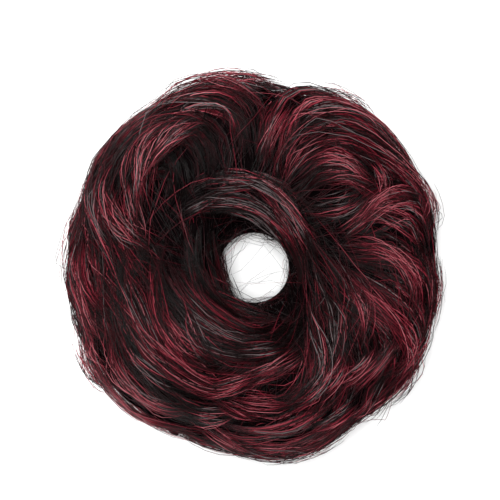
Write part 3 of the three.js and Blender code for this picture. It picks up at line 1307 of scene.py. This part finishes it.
# One more lies between these, low on the left of the hole, with its stations listed.
black_strand_routes.insert(7, ([-164, -152, -140, -128, -116, -104], [118, 114, 108, 102, 98, 96]))
loose_fibres(
    "strands_black",
    seed=52,
    routes=black_strand_routes,
    fibres=36,
    width=6,
    wander=5,
    fluff=3.4,
    wine=0.2,
    lift=0.65,
    thin=0.66,
    light=1.2,
)

rim_strand_pixels = [
    [(435, 244), (441, 275), (443, 296), (437, 318), (424, 342)],
    [(75, 337), (80, 364), (91, 381), (111, 393)],
    [(420, 171), (433, 191), (439, 211), (436, 234)],
    [(62, 300), (64, 270), (70, 240), (80, 210), (92, 185)],
    [(150, 105), (172, 90), (200, 79), (230, 71), (262, 76), (290, 90)],
    [(350, 430), (330, 443), (300, 453), (268, 458), (240, 450)],
    [(300, 92), (330, 94), (360, 102), (386, 118)],
    [(409, 352), (412, 372), (402, 395), (384, 414)],
]
rim_strand_routes = [seen_route(pixels) for pixels in rim_strand_pixels]
# One more lies between these, at the top of the rim, with its stations listed.
rim_strand_routes.insert(5, ([110, 102, 95, 88, 82], [26, 12, 6, 10, 30]))
loose_fibres(
    "strands_at_rim",
    seed=53,
    routes=rim_strand_routes,
    fibres=26,
    width=7,
    wander=8,
    fluff=4.6,
    wine=0.6,
    lift=0.72,
    light=1.1,
)

hollow_strand_pixels = [
    [
        (183, 109), (162, 116), (146, 132), (135, 152), (131, 177), (132, 194), (139, 214),
        (148, 236),
    ],
    [(211, 122), (191, 124), (174, 134), (158, 151), (142, 172), (134, 196), (138, 220)],
    [(101, 171), (104, 207), (118, 229), (138, 237), (151, 246), (162, 258)],
    [(120, 160), (124, 194), (132, 218), (139, 233), (142, 256)],
    [(110, 140), (98, 165), (93, 190), (98, 215), (112, 240), (128, 262)],
    [(301, 167), (317, 156), (336, 154), (354, 158), (368, 171), (381, 190)],
    [(344, 233), (360, 225), (373, 206), (395, 195), (415, 195), (428, 206)],
    [(309, 186), (330, 177), (350, 176), (370, 184), (392, 200)],
    [(370, 150), (385, 166), (390, 186), (384, 206)],
]
loose_fibres(
    "strands_over_hollows",
    seed=54,
    routes=[seen_route(pixels, lift=hollow_lift) for pixels in hollow_strand_pixels],
    fibres=30,
    width=5,
    wander=6,
    fluff=5,
    wine=0.55,
    lift=0.5,
    thin=0.66,
    light=1.2,
)

rim_loop_pixels = [
    [(72, 318), (74, 345), (84, 368), (98, 385), (118, 400)],
    [(77, 330), (83, 355), (95, 374), (110, 388)],
    [(405, 370), (399, 393), (384, 414), (362, 429), (340, 440)],
    [(395, 385), (385, 403), (370, 419), (350, 432)],
    [(436, 248), (443, 275), (444, 300), (438, 325)],
    [(420, 160), (433, 185), (440, 212), (437, 236)],
    [(148, 110), (168, 92), (195, 79)],
    [(212, 79), (238, 70), (262, 72), (288, 86)],
    [(235, 452), (262, 460), (290, 458), (318, 448)],
]
loose_fibres(
    "loops_at_rim",
    seed=55,
    routes=[seen_route(pixels, lift=rim_lift) for pixels in rim_loop_pixels],
    fibres=22,
    width=6,
    wander=9,
    fluff=5.5,
    wine=0.55,
    lift=0.6,
    light=1.15,
)

# Fibres at the rim and in the hole. The wisps outside the outline are loose ends, and the short
# fibres in the hole have slipped out of the wefts there.
loose_fibres(
    "loose_fibres_at_rim",
    seed=42,
    routes=[
        ([84, 92, 104, 122, 140, 158, 172], [60, 14, -4, -2, -2, 10, 40]),
        ([74, 64, 52, 38, 22, 8], [60, 20, -2, -6, 0, 24]),
        ([34, 22, 10, -4, -18, -30], [40, 12, -4, -4, 2, 30]),
        ([4, -10, -22, -36, -50], [30, 6, 4, 14, 40]),
        ([312, 304, 292, 278, 268, 262], [40, 4, -6, -4, 10, 40]),
        ([176, 190, 206, 222, 234, 244], [36, 8, -2, -4, 14, 40]),
        ([140, 158, 178, 196, 212], [20, -8, -14, -8, 10]),
        ([100, 120, 142, 160], [-10, -24, -24, -6]),
        ([-20, -40, -62, -84], [-16, -32, -34, -16]),
        ([200, 222, 246, 268], [-20, -36, -34, -14]),
        ([50, 30, 8, -12], [-20, -34, -34, -14]),
    ],
    fibres=22,
    width=20,
    wander=14,
    fluff=1.2,
    wine=0.5,
    lift=0.56,
)
loose_fibres(
    "loose_fibres_in_hole",
    seed=44,
    routes=[
        ([140, 160, 180, 200, 222, 244], [160, 174, 180, 180, 172, 158]),
        ([150, 172, 196, 222, 240], [176, 186, 190, 186, 176]),
    ],
    fibres=90,
    width=9,
    wander=8,
    fluff=1.6,
    wine=0.4,
    lift=0.6,
    step=3,
    thin=0.6,
)
loose_fibres(
    "loose_fibres_across_hole",
    seed=47,
    routes=[
        ([96, 126, 156, 186, 216], [150, 168, 176, 178, 164]),
        ([160, 132, 104, 76, 44], [160, 174, 182, 178, 160]),
        ([220, 250, 282, 312, 340], [160, 174, 178, 174, 160]),
    ],
    fibres=14,
    width=12,
    wander=22,
    fluff=4,
    wine=0.3,
    lift=0.7,
    step=3,
    thin=0.4,
)
loose_fibres(
    "short_fibres_in_hole",
    seed=48,
    routes=[
        ([84, 72, 60, 48, 36], [172, 184, 190, 184, 172]),
        ([150, 138, 126, 114, 102], [166, 178, 184, 180, 168]),
        ([20, 8, -6, -20], [172, 184, 186, 172]),
        ([270, 284, 298, 312], [170, 182, 184, 170]),
        ([230, 246, 262, 278], [170, 184, 186, 172]),
    ],
    fibres=34,
    width=9,
    wander=16,
    fluff=2.4,
    wine=0.3,
    lift=0.66,
    step=2.5,
    thin=0.4,
)
bpy.data.objects.remove(dressed_form)
